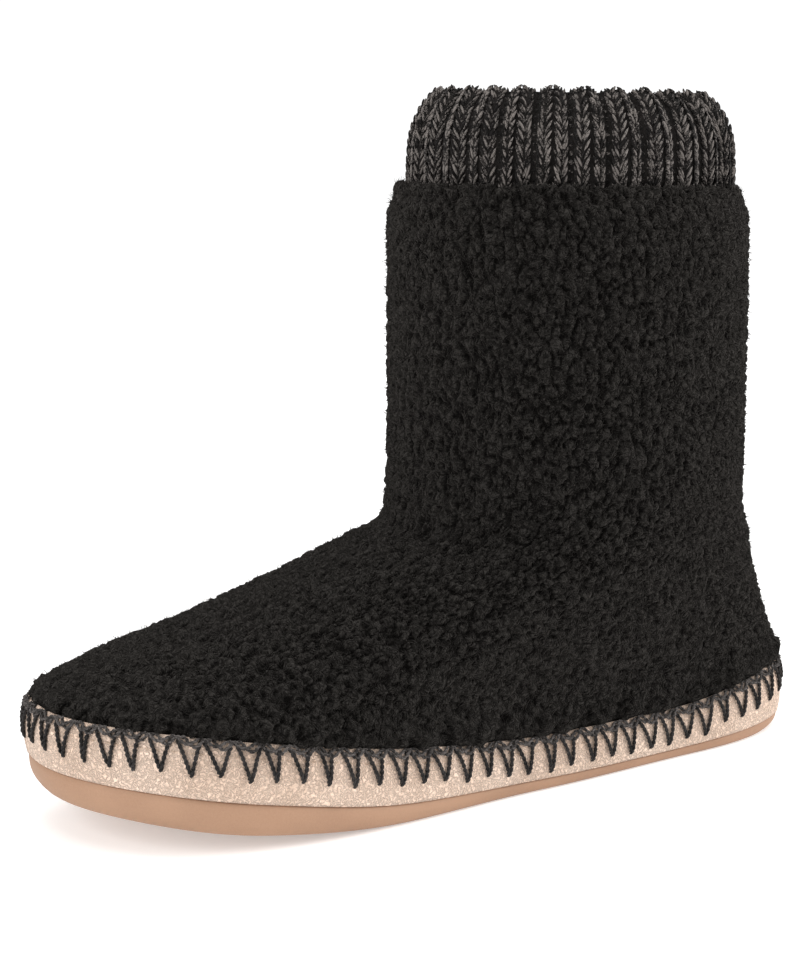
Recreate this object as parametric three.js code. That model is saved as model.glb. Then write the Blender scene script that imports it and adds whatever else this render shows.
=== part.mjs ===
// A bootie slipper for the left foot, in millimetres, standing on z = 0.
// The toe points to -Y, the heel to +Y, the outer side of the foot to +X.
// Every curved piece is a loft: closed rings of points, worked out from the tables below.
import * as THREE from "three";

// Main sizes
const LENGTH = 270; // heel to toe, over the sidewall band
const GAP = 0.3; // between pieces that touch
const AROUND = 84; // points round every piece of the foot, the same so that touching faces match
const END_ROUNDNESS = 0.8; // exponent of the plan outline: 1 is an ellipse, less is fuller

// The last, from heel (share 0) to toe (share 1).
// spine: x of the middle line. lateral, medial: half-widths of the outline before its ends are rounded.
// floor: underside of the sole. rim: seam of sole and band. bandTop: upper edge of the band.
const LAST = [
  { share: 0.0, spine: -2.8, lateral: 38.0, medial: 36.0, floor: 2.0, rim: 6.1, bandTop: 26.4 },
  { share: 0.08, spine: -3.3, lateral: 37.2, medial: 36.5, floor: 0.0, rim: 4.8, bandTop: 22.4 },
  { share: 0.22, spine: -3.8, lateral: 34.6, medial: 34.4, floor: 0.0, rim: 3.7, bandTop: 17.8 },
  { share: 0.42, spine: -2.0, lateral: 35.9, medial: 33.0, floor: 0.0, rim: 4.4, bandTop: 18.6 },
  { share: 0.6, spine: -1.7, lateral: 43.8, medial: 39.8, floor: 0.0, rim: 7.0, bandTop: 24.0 },
  { share: 0.78, spine: -4.0, lateral: 57.7, medial: 48.6, floor: 4.2, rim: 15.4, bandTop: 33.8 },
  { share: 0.9, spine: -6.7, lateral: 64.8, medial: 51.0, floor: 9.4, rim: 20.9, bandTop: 39.0 },
  { share: 1.0, spine: -9.6, lateral: 60.2, medial: 42.0, floor: 12.6, rim: 23.4, bandTop: 40.6 },
];

// The upper above the band, one ring a row, from the band to the hem.
// front and back: y and z of the ring's two ends, in the side view.
// heel, ankle, instep: half-widths that the ring takes as it leaves the outline of the sole.
// free: 0 follows the sole's outline, 1 is the shaft's own oval. wall: thickness of the shell.
const UPPER = [
  { front: [-130.8, 42.2], back: [131.8, 28.2], free: 0.02, heel: 40, ankle: 40, instep: 56, wall: 4.4 },
  { front: [-127.6, 44.6], back: [130.4, 33.2], free: 0.1, heel: 42, ankle: 41, instep: 54, wall: 5 },
  { front: [-119.8, 48.6], back: [127.4, 41], free: 0.28, heel: 43, ankle: 42.5, instep: 50, wall: 5.4 },
  { front: [-107.8, 53], back: [124, 49.5], free: 0.5, heel: 44, ankle: 44, instep: 46, wall: 5.8 },
  { front: [-92.8, 57.6], back: [120.4, 58.5], free: 0.7, heel: 45, ankle: 45.5, instep: 43.5, wall: 6 },
  { front: [-77.6, 62.8], back: [117, 67.5], free: 0.82, heel: 46, ankle: 47, instep: 42, wall: 6 },
  { front: [-62, 68], back: [114, 76], free: 0.9, heel: 47, ankle: 48, instep: 41.2, wall: 6 },
  { front: [-46.4, 73.2], back: [111.8, 84], free: 0.95, heel: 48, ankle: 48.6, instep: 41.2, wall: 6 },
  { front: [-31.4, 78.6], back: [110.4, 92], free: 1, heel: 48.6, ankle: 49.2, instep: 42, wall: 6 },
  { front: [-20.2, 84.6], back: [109.6, 100], free: 1, heel: 49.4, ankle: 49.8, instep: 44, wall: 6 },
  { front: [-15.2, 93], back: [109.2, 107], free: 1, heel: 50, ankle: 50.1, instep: 46.6, wall: 6 },
  { front: [-13.6, 104], back: [109, 115], free: 1, heel: 50.3, ankle: 50.3, instep: 49.2, wall: 6 },
  { front: [-13, 124], back: [108.9, 130], free: 1, heel: 50.4, ankle: 50.4, instep: 50.4, wall: 6 },
  { front: [-12.7, 152], back: [108.9, 154], free: 1, heel: 50.4, ankle: 50.4, instep: 50.4, wall: 6 },
  { front: [-12.5, 179], back: [108.6, 177], free: 1, heel: 50.4, ankle: 50.4, instep: 50.4, wall: 6 },
  { front: [-11.9, 190], back: [107.8, 187.6], free: 1, heel: 49.8, ankle: 49.8, instep: 49.8, wall: 5.6 },
];
const RING_SHARES = { heel: 0.08, ankle: 0.42, instep: 0.8 }; // where along a ring its half-widths hold
const HEM = { inset: 2.2, rise: 3.6 }; // the hem's crown, in from the outer face and above its last ring
const BAND_COVER = 2.8; // the lowest rings stand this far in from the outline, behind the band's edge
const SKIRT_WALL = 3.6; // the shell is pressed thinner behind the band
const SKIRT_LEVEL = 0.6; // share of the band's height where it gets its full wall

// The sidewall band, a strip standing on the sole round the foot of the upper.
// inset: in from the outline. level: 0 at the seam with the sole, 1 at the upper edge.
const BAND = [
  { inset: 0.6, level: 0.0 },
  { inset: 0.0, level: 0.25 },
  { inset: 0.1, level: 0.55 },
  { inset: 0.9, level: 0.82 },
  { inset: 1.8, level: 0.97 },
  { inset: 2.6, level: 1.0 },
  { inset: 3.2, level: 0.94 },
  { inset: 3.2, level: 0.0 },
];
const BAND_WALL = BAND.at(-1).inset;

// The outsole: a slab with a rounded lower edge, set in a little under the band.
const SOLE_INSET = 1.2;
const EDGE_STEPS = 4;
const EDGE_DEPTH = 0.8; // share of the sole's thickness that the rounded edge takes
const EDGE_WIDTH = 0.5; // its width, as a share of the sole's thickness, plus the value below
const EDGE_WIDTH_MIN = 0.8;

// The footbed inside. inset: in from its widest line. height: above the sole.
const INSOLE_CLEARANCE = 0.4; // between the footbed and the upper
const INSOLE = [
  { inset: 0.6, height: 0 },
  { inset: 0, height: 2.45 },
  { inset: 0.4, height: 5.25 },
  { inset: 2.2, height: 7 },
];

// The rib-knit cuff: a folded ring that stands in the top of the shaft.
// level: height from the hem. inset: in from the shaft's outer face. shift: towards the heel.
// ribs: share of the full rib depth.
const CUFF = {
  ribs: 28,
  pointsPerRib: 6,
  ribDepth: 1.5,
  hemZ: { front: 191.5, back: 189.5 },
  section: [
    { inset: 6.7, shift: 0, level: -24, ribs: 0.3 },
    { inset: 6.8, shift: 0, level: -3, ribs: 0.6 },
    { inset: 6.4, shift: 0.9, level: 4, ribs: 1 },
    { inset: 6.8, shift: 1, level: 14, ribs: 1 },
    { inset: 9.2, shift: 1, level: 22.6, ribs: 1 },
    { inset: 13.2, shift: 0.8, level: 28.4, ribs: 1 },
    { inset: 16.2, shift: 0.6, level: 30.6, ribs: 0.9 },
    { inset: 18.1, shift: 0.4, level: 27.6, ribs: 0.6 },
    { inset: 15.9, shift: 0, level: 12, ribs: 0.3 },
    { inset: 12.9, shift: 0, level: -24, ribs: 0.2 },
  ],
};
const SHAFT = { frontY: -12.6, backY: 108.7, half: 50.4 }; // the shaft's outer oval at the cuff

// Piecewise cubic through the rows of a table, with no overshoot between equal values.
function along(table, key, column, at) {
  const end = table.length - 1;
  if (at <= table[0][key]) return table[0][column];
  if (at >= table[end][key]) return table[end][column];
  let i = 0;
  while (at > table[i + 1][key]) i += 1;
  const slope = (j) => (table[j + 1][column] - table[j][column]) / (table[j + 1][key] - table[j][key]);
  const tangent = (j) => {
    if (j === 0) return slope(0);
    if (j === end) return slope(end - 1);
    const before = slope(j - 1);
    const after = slope(j);
    return before * after <= 0 ? 0 : (2 * before * after) / (before + after);
  };
  const width = table[i + 1][key] - table[i][key];
  const s = (at - table[i][key]) / width;
  const from = (1 + 2 * s) * (1 - s) ** 2 * table[i][column];
  const to = s * s * (3 - 2 * s) * table[i + 1][column];
  const bend = s * (1 - s) ** 2 * width * tangent(i) - s * s * (1 - s) * width * tangent(i + 1);
  return from + to + bend;
}

const last = (column, share) => along(LAST, "share", column, share);
const lerp = THREE.MathUtils.lerp;
const shareOf = (turn) => (1 - Math.cos(turn)) / 2;
const shareAt = (y) => THREE.MathUtils.clamp(0.5 - y / LENGTH, 0, 1);
const lateralSide = (turn) => Math.sin(turn) >= 0;
const fullness = (turn, exponent) => Math.abs(Math.sin(turn)) ** exponent * (lateralSide(turn) ? 1 : -1);

// A point of the plan outline; the turn goes from the heel (0) by the outer side to the toe (PI) and back.
function outline(turn) {
  const share = shareOf(turn);
  const half = last(lateralSide(turn) ? "lateral" : "medial", share);
  const x = last("spine", share) + half * fullness(turn, END_ROUNDNESS);
  return new THREE.Vector2(x, LENGTH / 2 - share * LENGTH);
}

// The outline moved in by an inset, square to itself.
function footprint(turn, inset) {
  const step = 0.02;
  const direction = outline(turn + step).sub(outline(turn - step)).normalize();
  const outward = new THREE.Vector2(-direction.y, direction.x);
  return outline(turn).addScaledVector(outward, -inset);
}

function ringOf(segments, pointAt) {
  return Array.from({ length: segments }, (_, i) => pointAt((2 * Math.PI * i) / segments));
}

// Faces between two rings of the same number of points, the second one above the first.
function joinRings(faces, lower, upper, count) {
  for (let i = 0; i < count; i += 1) {
    const next = (i + 1) % count;
    faces.push(lower + i, upper + next, lower + next, lower + i, upper + i, upper + next);
  }
}

// Closes a ring with rungs from side to side, so that a bent sole stays true along its length.
function capRing(faces, start, count, facesDown) {
  const half = count / 2;
  const triangle = (a, b, c) => (facesDown ? faces.push(a, b, c) : faces.push(a, c, b));
  for (let i = 0; i < half; i += 1) {
    const a = start + i;
    const b = start + i + 1;
    const c = start + ((count - i - 1) % count);
    const d = start + ((count - i) % count);
    if (i > 0) triangle(a, c, d);
    if (i < half - 1) triangle(a, b, c);
  }
}

function solid(name, points, faces, look) {
  const geometry = new THREE.BufferGeometry();
  const flat = points.flatMap((p) => [p.x, p.y, p.z]);
  geometry.setAttribute("position", new THREE.Float32BufferAttribute(flat, 3));
  geometry.setIndex(faces);
  geometry.computeVertexNormals();
  const mesh = new THREE.Mesh(geometry, new THREE.MeshStandardMaterial(look));
  mesh.name = name;
  return mesh;
}

// A hollow ring-shaped piece: its rings go up the outer face, over the edge and down the inner one.
function shell(name, rings, look) {
  const count = rings[0].length;
  const faces = [];
  rings.forEach((_, r) => joinRings(faces, r * count, ((r + 1) % rings.length) * count, count));
  return solid(name, rings.flat(), faces, look);
}

// A solid slab: rings from the bottom to the top, closed at both.
function slab(name, rings, look) {
  const count = rings[0].length;
  const faces = [];
  capRing(faces, 0, count, true);
  for (let r = 0; r < rings.length - 1; r += 1) joinRings(faces, r * count, (r + 1) * count, count);
  capRing(faces, (rings.length - 1) * count, count, false);
  return solid(name, rings.flat(), faces, look);
}

function outsole() {
  const rings = [];
  for (let step = 0; step <= EDGE_STEPS; step += 1) {
    const angle = (Math.PI / 2) * (step / EDGE_STEPS);
    rings.push(
      ringOf(AROUND, (turn) => {
        const share = shareOf(turn);
        const thickness = last("rim", share) - last("floor", share);
        const width = EDGE_WIDTH_MIN + EDGE_WIDTH * thickness;
        const point = footprint(turn, SOLE_INSET + width * (1 - Math.sin(angle)));
        const floor = last("floor", shareAt(point.y));
        const z = floor + EDGE_DEPTH * thickness * (1 - Math.cos(angle));
        return new THREE.Vector3(point.x, point.y, z);
      }),
    );
  }
  rings.push(
    ringOf(AROUND, (turn) => {
      const point = footprint(turn, SOLE_INSET);
      return new THREE.Vector3(point.x, point.y, last("rim", shareAt(point.y)));
    }),
  );
  return slab("outsole", rings, { color: 0xaa866b, roughness: 0.75, metalness: 0 });
}

// A ring that follows the band: in from the outline, and up from the seam to the band's edge.
function bandRing(inset, level) {
  return ringOf(AROUND, (turn) => {
    const point = footprint(turn, inset);
    const share = shareAt(point.y);
    const z = lerp(last("rim", share) + GAP, last("bandTop", share), level);
    return new THREE.Vector3(point.x, point.y, z);
  });
}

function sidewallBand() {
  const rings = BAND.map(({ inset, level }) => bandRing(inset, level));
  return shell("sidewall_band", rings, { color: 0xd7bba5, roughness: 0.95, metalness: 0 });
}

// Half-width of an upper's ring at a share of its own length: from the sole's outline to its own oval.
function ringHalfWidth(row, turn) {
  const share = shareOf(turn);
  const stops = Object.entries(RING_SHARES).map(([column, at]) => ({ at, half: row[column] }));
  const own = along(stops, "at", "half", share);
  const sole = last(lateralSide(turn) ? "lateral" : "medial", share);
  return lerp(sole - BAND_COVER, own, row.free);
}

function upperRing(row) {
  return ringOf(AROUND, (turn) => {
    const share = shareOf(turn);
    const exponent = lerp(END_ROUNDNESS, 1, row.free);
    const x = last("spine", share) * (1 - row.free) + ringHalfWidth(row, turn) * fullness(turn, exponent);
    const straight = lerp(last("bandTop", 0), last("bandTop", 1), share);
    const dip = (last("bandTop", share) - straight) * (1 - row.free);
    const [y, z] = [0, 1].map((axis) => lerp(row.back[axis], row.front[axis], share));
    return new THREE.Vector3(x, y, z + dip);
  });
}

// The outward direction at each point of a stack of rings, from its neighbours.
function outwardAt(rings, r, i) {
  const count = rings[r].length;
  const round = rings[r][(i + 1) % count].clone().sub(rings[r][(i + count - 1) % count]);
  const up = rings[Math.min(r + 1, rings.length - 1)][i].clone().sub(rings[Math.max(r - 1, 0)][i]);
  return up.cross(round).normalize();
}

function upper() {
  const tucked = BAND_WALL + GAP;
  const outer = UPPER.map(upperRing);
  const inside = (r) =>
    outer[r].map((point, i) => point.clone().addScaledVector(outwardAt(outer, r, i), -UPPER[r].wall));
  const inner = [];
  for (let r = outer.length - 1; r >= 0; r -= 2) inner.push(inside(r));
  const hemRing = outer.at(-1);
  const hem = hemRing.map((point, i) => {
    const side = outwardAt(outer, outer.length - 1, i);
    return point.clone().addScaledVector(side, -HEM.inset).setZ(point.z + HEM.rise);
  });
  const rings = [
    bandRing(tucked, 0),
    bandRing(tucked, 1),
    ...outer,
    hem,
    ...inner,
    bandRing(tucked + SKIRT_WALL, SKIRT_LEVEL),
    bandRing(tucked + SKIRT_WALL, 0),
  ];
  return shell("upper", rings, { color: 0x1d1c1a, roughness: 1, metalness: 0 });
}

function cuff() {
  const segments = CUFF.ribs * CUFF.pointsPerRib;
  const middle = (SHAFT.frontY + SHAFT.backY) / 2;
  const depth = (SHAFT.backY - SHAFT.frontY) / 2;
  const rings = CUFF.section.map(({ inset, shift, level, ribs }) =>
    ringOf(segments, (turn) => {
      const rib = CUFF.ribDepth * ribs * (0.5 - 0.5 * Math.cos(turn * CUFF.ribs));
      const room = inset + CUFF.ribDepth * ribs - rib;
      const y = middle + shift + (depth - room) * Math.cos(turn);
      const x = (SHAFT.half - room) * Math.sin(turn);
      return new THREE.Vector3(x, y, lerp(CUFF.hemZ.back, CUFF.hemZ.front, shareOf(turn)) + level);
    }),
  );
  return shell("cuff", rings, { color: 0x34302e, roughness: 0.95, metalness: 0 });
}

function insole() {
  const edge = BAND_WALL + GAP + SKIRT_WALL + INSOLE_CLEARANCE;
  const rings = INSOLE.map(({ inset, height }) =>
    ringOf(AROUND, (turn) => {
      const point = footprint(turn, edge + inset);
      return new THREE.Vector3(point.x, point.y, last("rim", shareAt(point.y)) + GAP + height);
    }),
  );
  return slab("insole", rings, { color: 0x2b2927, roughness: 1, metalness: 0 });
}

const group = new THREE.Group();
group.add(outsole(), sidewallBand(), upper(), cuff(), insole());

export default group;
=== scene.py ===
# %% [markdown]
# # A bootie slipper, piece by piece
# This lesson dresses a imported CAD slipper. The frame gives five solids: the sole, the suede band round
# it, the fleece boot, the rib-knit cuff and the footbed. Each solid is right in size but plain.
# Every step below makes one real piece in its place: pile, knitted loops, hand stitches, suede, rubber.

# %% Load the frame
import math

import bpy
import numpy as np
from mathutils import Matrix, Vector


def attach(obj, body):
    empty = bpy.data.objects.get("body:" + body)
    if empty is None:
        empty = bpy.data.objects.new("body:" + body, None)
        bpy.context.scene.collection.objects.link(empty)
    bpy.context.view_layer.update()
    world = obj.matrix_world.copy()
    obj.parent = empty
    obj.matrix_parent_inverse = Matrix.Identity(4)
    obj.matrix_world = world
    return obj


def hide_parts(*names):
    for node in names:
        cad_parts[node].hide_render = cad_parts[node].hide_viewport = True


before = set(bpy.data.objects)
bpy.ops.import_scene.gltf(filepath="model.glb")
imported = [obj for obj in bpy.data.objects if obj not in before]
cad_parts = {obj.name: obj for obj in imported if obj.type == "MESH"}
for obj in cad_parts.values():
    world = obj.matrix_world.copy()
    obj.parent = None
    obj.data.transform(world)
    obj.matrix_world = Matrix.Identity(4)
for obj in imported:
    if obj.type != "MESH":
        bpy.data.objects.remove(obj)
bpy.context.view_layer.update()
MM = 0.001

# %% [markdown]
# ## Camera, room and light
# The slipper stands on a pale floor in a bright product studio. The camera looks at its outer side from
# the front, a little from above, through a long lens, so the sole stays nearly straight.
# A sun lamp would cut hard shadows between the curls, so the light comes from three large soft panels,
# on the toe side, above and by the heel, and the white room fills the rest.

# %% Camera, room and light
CAMERA_PLACE = Vector((0.5270, -0.2626, 0.2053))
CAMERA_RIGHT = Vector((0.4286, 0.9035, -0.0084))
CAMERA_UP = Vector((-0.1574, 0.0838, 0.984))
LENS_MM = 69.5
SENSOR_MM = 36
ROOM_LIGHT, ROOM_SEEN = 0.55, 1.1


def link(thing):
    bpy.context.scene.collection.objects.link(thing)
    return thing


def studio_camera():
    data = bpy.data.cameras.new("studio_camera")
    data.lens = LENS_MM
    data.sensor_width = SENSOR_MM
    data.clip_start = 0.01
    camera = link(bpy.data.objects.new("studio_camera", data))
    back = CAMERA_RIGHT.cross(CAMERA_UP).normalized()
    up = back.cross(CAMERA_RIGHT).normalized()
    turned = Matrix((CAMERA_RIGHT.normalized(), up, back)).transposed()
    camera.matrix_world = Matrix.Translation(CAMERA_PLACE) @ turned.to_4x4()
    bpy.context.scene.camera = camera


def soft_light(name, place, target, breadth, power):
    data = bpy.data.lights.new(name, "AREA")
    data.shape = "RECTANGLE"
    data.size = data.size_y = breadth
    data.energy = power
    lamp = link(bpy.data.objects.new(name, data))
    lamp.location = place
    lamp.rotation_euler = (Vector(target) - Vector(place)).to_track_quat("-Z", "Y").to_euler()
    print(name, "gives", power, "watts from", round(Vector(place).length, 2), "m")


def white_room(light, seen):
    """A plain white room: how much light it gives, and how bright its wall looks behind the slipper."""
    world = bpy.data.worlds.new("white_room")
    world.use_nodes = True
    tree = world.node_tree
    wall = tree.nodes["Background"]
    wall.inputs["Color"].default_value = (1, 1, 1, 1)
    strength = tree.nodes.new("ShaderNodeMapRange")
    strength.inputs["To Min"].default_value = light
    strength.inputs["To Max"].default_value = seen
    seen_straight = tree.nodes.new("ShaderNodeLightPath").outputs["Is Camera Ray"]
    tree.links.new(seen_straight, strength.inputs["Value"])
    tree.links.new(strength.outputs[0], wall.inputs["Strength"])
    bpy.context.scene.world = world
    bpy.context.scene.view_settings.view_transform = "Standard"


studio_camera()
white_room(ROOM_LIGHT, ROOM_SEEN)
soft_light("toe_side_light", place=(0.45, -1.2, 0.8), target=(0, -0.02, 0.08), breadth=0.9, power=12)
soft_light("top_light", place=(0.1, 0.05, 1.5), target=(0, 0, 0), breadth=1.6, power=16)
soft_light("heel_side_light", place=(0.65, 1.1, 0.55), target=(0, 0.05, 0.08), breadth=0.8, power=15)

# %% [markdown]
# ## Wiring nodes
# Materials and Geometry Nodes are both trees of nodes. They could be wired by hand, three lines a node.
# One short helper adds a node, sets its values and links what feeds it, so that each recipe below reads
# from top to bottom like a list.

# %% Helpers for node trees
def feed(tree, socket, value):
    """Gives an input its number or colour, or links the socket that feeds it."""
    if isinstance(value, bpy.types.NodeSocket):
        tree.links.new(value, socket)
    else:
        socket.default_value = value


def add(tree, kind, inputs=None, **settings):
    """Adds a node with its settings, and feeds its inputs by name or number."""
    step = tree.nodes.new(kind)
    for key, value in settings.items():
        setattr(step, key, value)
    for key, value in (inputs or {}).items():
        feed(tree, step.inputs[key], value)
    return step


def math_step(tree, operation, *values):
    return add(tree, "ShaderNodeMath", dict(enumerate(values)), operation=operation).outputs[0]


def vector_step(tree, operation, a, b=None, scale=None):
    inputs = {key: value for key, value in ((0, a), (1, b), ("Scale", scale)) if value is not None}
    step = add(tree, "ShaderNodeVectorMath", inputs, operation=operation)
    return step.outputs["Value" if operation == "LENGTH" else "Vector"]


def ramp_step(tree, value, low, high, to_low=0.0, to_high=1.0):
    """A soft step: to_low under low, to_high over high."""
    inputs = {0: value, 1: low, 2: high, 3: to_low, 4: to_high}
    return add(tree, "ShaderNodeMapRange", inputs, interpolation_type="SMOOTHSTEP").outputs[0]


def noise_step(tree, place, scale, detail, roughness=0.5, distortion=0.0, output="Fac"):
    """Soft noise; the scale says how many times it swings in a metre."""
    return add(tree, "ShaderNodeTexNoise", {
        "Vector": place, "Scale": scale, "Detail": detail, "Roughness": roughness,
        "Distortion": distortion}).outputs[output]


def mix_step(tree, share, dark, light):
    return add(tree, "ShaderNodeMix", {0: share, 6: dark, 7: light}, data_type="RGBA").outputs[2]


def bump_step(tree, height, depth, strength=1.0):
    inputs = {"Height": height, "Distance": depth, "Strength": strength}
    return add(tree, "ShaderNodeBump", inputs).outputs[0]


# %% Helpers for whole recipes
GEOMETRY = ("Geometry", "NodeSocketGeometry", None)
FINISH = ("Finish", "NodeSocketMaterial", None)
NUMBER = "NodeSocketFloat"
COLOR = "NodeSocketColor"
VECTOR = "NodeSocketVector"


def recipe(name, kind, inputs, outputs):
    """A node group with named inputs and outputs; each is (name, socket type, value)."""
    tree = bpy.data.node_groups.new(name, kind)
    for direction, sockets in (("INPUT", inputs), ("OUTPUT", outputs)):
        for title, socket_type, value in sockets:
            socket = tree.interface.new_socket(title, in_out=direction, socket_type=socket_type)
            if value is not None:
                socket.default_value = value
    return tree, tree.nodes.new("NodeGroupInput"), tree.nodes.new("NodeGroupOutput")


def end_recipe(tree, given, result, geometry):
    """Ends a Geometry Nodes recipe: copies become real mesh, then get the finish that was given."""
    real = add(tree, "GeometryNodeRealizeInstances", {"Geometry": geometry}).outputs[0]
    dressed = add(tree, "GeometryNodeSetMaterial", {"Geometry": real, "Material": given.outputs["Finish"]})
    feed(tree, result.inputs[0], dressed.outputs[0])
    return tree


def grow(carrier, tree, name, values):
    """Runs a Geometry Nodes recipe on a carrier and keeps the result as a plain mesh."""
    modifier = carrier.modifiers.new(tree.name, "NODES")
    modifier.node_group = tree
    for item in tree.interface.items_tree:
        if item.item_type == "SOCKET" and item.in_out == "INPUT" and item.name in values:
            modifier[item.identifier] = values[item.name]
    graph = bpy.context.evaluated_depsgraph_get()
    mesh = bpy.data.meshes.new_from_object(
        carrier.evaluated_get(graph), preserve_all_data_layers=True, depsgraph=graph)
    carrier.modifiers.remove(modifier)
    mesh.name = name
    piece = link(bpy.data.objects.new(name, mesh))
    print(name, "has", sum(len(p.vertices) - 2 for p in mesh.polygons), "triangles")
    return piece


# %% [markdown]
# ## Shared finishes
# Pile, suede nap and rubber all need a fine relief and a slow change of colour. Each effect could be
# wired again in every material. Instead it is one shader group with named inputs, built once and placed
# in each material with its own numbers.

# %% Relief and colour groups
FINER, FINER_SHARE = 3.1, 0.4
MOTTLE_FROM, MOTTLE_TO = 0.32, 0.68


def relief_group():
    """Fine bumps of one size, with a second finer layer, as a normal."""
    tree, given, result = recipe(
        "fine_relief", "ShaderNodeTree",
        [("Size", NUMBER, 0.001), ("Depth", NUMBER, 0.0002)], [("Normal", VECTOR, None)])
    place = add(tree, "ShaderNodeTexCoord").outputs["Object"]
    scale = math_step(tree, "DIVIDE", 1.0, given.outputs["Size"])
    coarse = noise_step(tree, place, scale, detail=3.0, roughness=0.6, distortion=0.6)
    fine = noise_step(tree, place, math_step(tree, "MULTIPLY", scale, FINER), detail=2.0)
    height = math_step(tree, "ADD", coarse, math_step(tree, "MULTIPLY", fine, FINER_SHARE))
    feed(tree, result.inputs["Normal"], bump_step(tree, height, given.outputs["Depth"]))
    return tree


def mottle_group():
    """One colour that drifts between a dark and a light one in soft patches and fine specks."""
    tree, given, result = recipe(
        "soft_mottle", "ShaderNodeTree",
        [("Dark", COLOR, (0, 0, 0, 1)), ("Light", COLOR, (1, 1, 1, 1)), ("Patch Size", NUMBER, 0.02),
         ("Speck Size", NUMBER, 0.001), ("Speck Share", NUMBER, 0.5)],
        [("Color", COLOR, None)])
    place = add(tree, "ShaderNodeTexCoord").outputs["Object"]
    patch_scale = math_step(tree, "DIVIDE", 1.0, given.outputs["Patch Size"])
    speck_scale = math_step(tree, "DIVIDE", 1.0, given.outputs["Speck Size"])
    patch = noise_step(tree, place, patch_scale, detail=2.0)
    speck = noise_step(tree, place, speck_scale, detail=3.0, roughness=0.65, distortion=1.0)
    both = add(tree, "ShaderNodeMix", {0: given.outputs["Speck Share"], 2: patch, 3: speck}).outputs[0]
    spread = ramp_step(tree, both, MOTTLE_FROM, MOTTLE_TO)
    color = mix_step(tree, spread, given.outputs["Dark"], given.outputs["Light"])
    feed(tree, result.inputs["Color"], color)
    return tree


RELIEF = relief_group()
MOTTLE = mottle_group()
print("shader groups:", RELIEF.name, "and", MOTTLE.name)

# %% Building a finish
WORM_LINE = 0.16


def bare_finish(name, roughness=0.9, specular=0.3, sheen=0.0, sheen_roughness=0.4,
                sheen_tint=(1, 1, 1, 1)):
    """A new material with its gloss, and its sheen where fibres catch light at the edges."""
    material = bpy.data.materials.new(name)
    material.use_nodes = True
    shader = material.node_tree.nodes["Principled BSDF"]
    for key, value in {"Roughness": roughness, "Specular IOR Level": specular, "Sheen Weight": sheen,
                       "Sheen Roughness": sheen_roughness, "Sheen Tint": sheen_tint}.items():
        shader.inputs[key].default_value = value
    return material, material.node_tree, shader.inputs


def mottled(tree, dark, light, patch=0.02, speck=0.001, speck_share=0.5):
    return add(tree, "ShaderNodeGroup", {
        "Dark": (*dark, 1), "Light": (*light, 1), "Patch Size": patch, "Speck Size": speck,
        "Speck Share": speck_share}, node_tree=MOTTLE).outputs["Color"]


def relieved(tree, size, depth):
    return add(tree, "ShaderNodeGroup", {"Size": size, "Depth": depth}, node_tree=RELIEF).outputs["Normal"]


def finish(name, dark, light, patch=0.02, speck=0.001, speck_share=0.5, size=0.001, depth=0.0002, **gloss):
    """The common finish: a mottled colour over a fine relief."""
    material, tree, inputs = bare_finish(name, **gloss)
    feed(tree, inputs["Base Color"], mottled(tree, dark, light, patch, speck, speck_share))
    feed(tree, inputs["Normal"], relieved(tree, size, depth))
    return material


def worms(tree, place, size, detail, distortion):
    """Soft winding ridges: 0 along their dark lines, 1 between."""
    noise = noise_step(tree, place, 1 / size, detail, distortion=distortion)
    off = math_step(tree, "ABSOLUTE", math_step(tree, "SUBTRACT", noise, 0.5))
    return ramp_step(tree, off, 0.0, WORM_LINE)


# %% [markdown]
# ## The floor
# A photographer stands such a slipper on a lit table. A plain grey plane would go dull towards the
# horizon. So this one is pale and a little lit from within, more so further out: it stays white all the
# way and still shows the soft shadow where the slipper touches it.

# %% The floor
FLOOR_HALF = 6
GLOW_FROM, GLOW_TO = 0.2, 0.7
GLOW_NEAR, GLOW_FAR = 0.33, 0.85


def pale_floor():
    material = finish("pale_floor", (0.84, 0.83, 0.825), (0.86, 0.85, 0.845), size=0.01, depth=0.00002,
                      roughness=0.8)
    tree = material.node_tree
    inputs = tree.nodes["Principled BSDF"].inputs
    away = vector_step(tree, "LENGTH", add(tree, "ShaderNodeTexCoord").outputs["Object"])
    feed(tree, inputs["Emission Color"], ramp_step(tree, away, GLOW_FROM, GLOW_TO, GLOW_NEAR, GLOW_FAR))
    feed(tree, inputs["Emission Strength"], 1.0)
    mesh = bpy.data.meshes.new("floor")
    corners = [(x * FLOOR_HALF, y * FLOOR_HALF, 0) for x, y in ((-1, -1), (1, -1), (1, 1), (-1, 1))]
    mesh.from_pydata(corners, [], [(0, 1, 2, 3)])
    mesh.materials.append(material)
    return link(bpy.data.objects.new("floor", mesh))


pale_floor()
print("floor", 2 * FLOOR_HALF, "m wide")

# %% [markdown]
# ## The last, in numbers
# A shoemaker starts from a last, the solid foot that a shoe is built on. It could be sculpted, but here
# it is a short table of widths and heights from heel to toe, the same sizes that the CAD solids are cut
# from, in millimetres. Smooth curves through its rows give every other piece its line, so the stitches
# lie on the band and the band on the sole without any fitting.

# %% The last and its curves
LENGTH = 270
END_ROUNDNESS = 0.8
GAP = 0.3
LAST = {
    "share": [0, 0.08, 0.22, 0.42, 0.6, 0.78, 0.9, 1],
    "spine": [-2.8, -3.3, -3.8, -2.0, -1.7, -4.0, -6.7, -9.6],
    "lateral": [38, 37.2, 34.6, 35.9, 43.8, 57.7, 64.8, 60.2],
    "medial": [36, 36.5, 34.4, 33, 39.8, 48.6, 51, 42],
    "floor": [2, 0, 0, 0, 0, 4.2, 9.4, 12.6],
    "rim": [6.1, 4.8, 3.7, 4.4, 7, 15.4, 20.9, 23.4],
    "band_top": [26.4, 22.4, 17.8, 18.6, 24, 33.8, 39, 40.6],
}


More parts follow.
